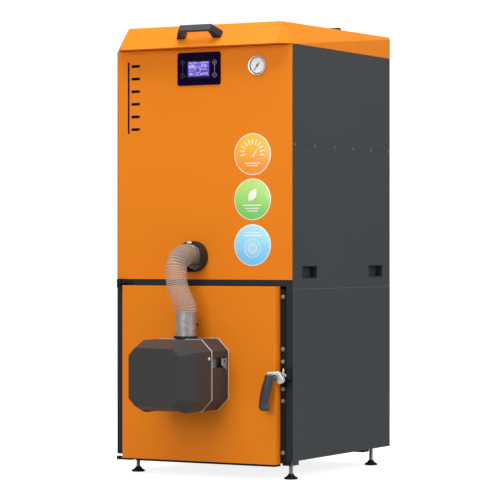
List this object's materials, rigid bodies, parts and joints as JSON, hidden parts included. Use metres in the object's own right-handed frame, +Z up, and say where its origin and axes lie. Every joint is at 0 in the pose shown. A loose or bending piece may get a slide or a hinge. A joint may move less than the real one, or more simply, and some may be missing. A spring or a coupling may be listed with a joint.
{
  "type": "pellet heating boiler",
  "caption": "Free-standing pellet boiler: steel cabinet with a hopper under a hinged lid, a feed screw and hose, a burner on a swinging door, and a tube heat exchanger with a rear flue.",
  "frame": {"origin": "on the floor at the middle of the whole outline, with the feet screwed fully in", "axes": "+Z up, -Y towards the burner and door, +X to the right as seen from the front"},
  "size_m": [0.6, 1.026, 1.354],
  "materials": {
    "casing_grey": "satin powder coat",
    "panel_orange": "satin powder coat",
    "frame_slate": "satin powder coat",
    "burner_dark": "fine texture",
    "handle_grey": "satin",
    "plate_black": "matt",
    "vessel_steel": "matt primer",
    "steel_tube": "mill finish",
    "zinc_sheet": "galvanised",
    "zinc_parts": "zinc plated",
    "lever_chrome": "polished",
    "fittings_brass": "machined",
    "fire_steel": "heat-resistant steel",
    "ceramic_board": "ceramic fibre board",
    "gasket_rope": "glass fibre rope",
    "seal_black": "sponge rubber",
    "black_plastic": "fine texture",
    "motor_black": "satin",
    "grip_bakelite": "bakelite",
    "hose_pvc": "clear ribbed hose",
    "display_black": "gloss",
    "dial_white": "printed dial",
    "needle_black": "matt",
    "clear_glass": "clear",
    "igniter_ceramic": "ceramic",
    "foot_zinc": "zinc plated rod and pad"
  },
  "bodies": {
    "cabinet": {"base_frame": "frame_slate", "front_frame": "frame_slate", "front_panel": "panel_orange", "side_left_lower": "casing_grey", "side_left_middle": "casing_grey", "side_left_upper": "casing_grey", "side_right_lower": "casing_grey", "side_right_middle": "casing_grey", "side_right_upper": "casing_grey", "grip_cups": "black_plastic", "rear_panel": "casing_grey", "rear_hood": "panel_orange", "boiler_body": "vessel_steel", "exchanger_tubes": "steel_tube", "exchanger_hatch": "vessel_steel", "flue_outlet": "steel_tube", "water_pipes": "fittings_brass", "ash_pan": "vessel_steel", "hopper": "zinc_sheet", "auger_tube": "zinc_sheet", "auger_motor": "motor_black", "hose_collar": "black_plastic", "control_unit": "black_plastic", "display_glass": "display_black", "gauge_case": "zinc_parts", "gauge_dial": "dial_white", "gauge_glass": "clear_glass", "latch_keeper": "plate_black", "door_hinge_pins": "plate_black", "lid_hinge_bases": "plate_black"},
    "lid": {"lid": "panel_orange", "lid_handle": "handle_grey", "lid_hinge_straps": "plate_black", "lid_gasket": "seal_black"},
    "door": {"door_tray": "panel_orange", "door_plate": "plate_black", "door_insulation": "ceramic_board", "door_gasket": "gasket_rope", "door_bolts": "zinc_parts", "door_hinge_arms": "plate_black", "burner_housing": "burner_dark", "burner_tube": "fire_steel", "igniter": "igniter_ceramic", "blower_housing": "motor_black", "stoker_motor": "motor_black", "pellet_spigot": "zinc_sheet", "pellet_hose": "hose_pvc", "hose_clamps": "black_plastic"},
    "blower": {"blower_wheel": "zinc_sheet"},
    "stoker": {"stoker_screw": "zinc_sheet"},
    "cover": {"burner_cover": "burner_dark"},
    "cover_screw": {"cover_screw": "zinc_parts"},
    "latch": {"latch_lever": "lever_chrome", "latch_grip": "grip_bakelite"},
    "feed_screw": {"auger_screw": "zinc_sheet"},
    "needle": {"gauge_needle": "needle_black"},
    "foot_fl": {"foot_front_left": "foot_zinc"},
    "foot_fr": {"foot_front_right": "foot_zinc"},
    "foot_rl": {"foot_rear_left": "foot_zinc"},
    "foot_rr": {"foot_rear_right": "foot_zinc"}
  },
  "joints": [
    {"name": "lid_lift", "type": "hinge", "parent": "cabinet", "child": "lid", "pos_m": [0, 0.1935, 1.3465], "axis": [-1, 0, 0], "range_deg": [0, 100]},
    {"name": "door_swing", "type": "hinge", "parent": "cabinet", "child": "door", "pos_m": [-0.287, -0.242, 0.307], "axis": [0, 0, -1], "range_deg": [0, 120]},
    {"name": "latch_turn", "type": "hinge", "parent": "door", "child": "latch", "pos_m": [0.267, -0.251, 0.308], "axis": [0, 1, 0], "range_deg": [0, 90]},
    {"name": "cover_pull", "type": "slide", "parent": "door", "child": "cover", "axis": [0, -1, 0], "range_m": [0, 0.16]},
    {"name": "cover_screw_out", "type": "slide", "parent": "cover", "child": "cover_screw", "axis": [1, 0, 0], "range_m": [0, 0.006]},
    {"name": "blower_spin", "type": "hinge", "parent": "door", "child": "blower", "pos_m": [0.052, -0.381, 0.255], "axis": [0, 1, 0], "continuous": true},
    {"name": "stoker_spin", "type": "hinge", "parent": "door", "child": "stoker", "pos_m": [-0.003, -0.331, 0.307], "axis": [0, 1, 0], "continuous": true},
    {"name": "feed_spin", "type": "hinge", "parent": "cabinet", "child": "feed_screw", "pos_m": [-0.03, -0.031, 0.652], "axis": [0, 1, 0], "continuous": true},
    {"name": "needle_turn", "type": "hinge", "parent": "cabinet", "child": "needle", "pos_m": [0.183, -0.231, 1.212], "axis": [0, 1, 0], "range_deg": [0, 265]},
    {"name": "foot_fl_screw", "type": "slide", "parent": "cabinet", "child": "foot_fl", "axis": [0, 0, -1], "range_m": [0, 0.02]},
    {"name": "foot_fr_screw", "type": "slide", "parent": "cabinet", "child": "foot_fr", "axis": [0, 0, -1], "range_m": [0, 0.02]},
    {"name": "foot_rl_screw", "type": "slide", "parent": "cabinet", "child": "foot_rl", "axis": [0, 0, -1], "range_m": [0, 0.02]},
    {"name": "foot_rr_screw", "type": "slide", "parent": "cabinet", "child": "foot_rr", "axis": [0, 0, -1], "range_m": [0, 0.02]}
  ]
}
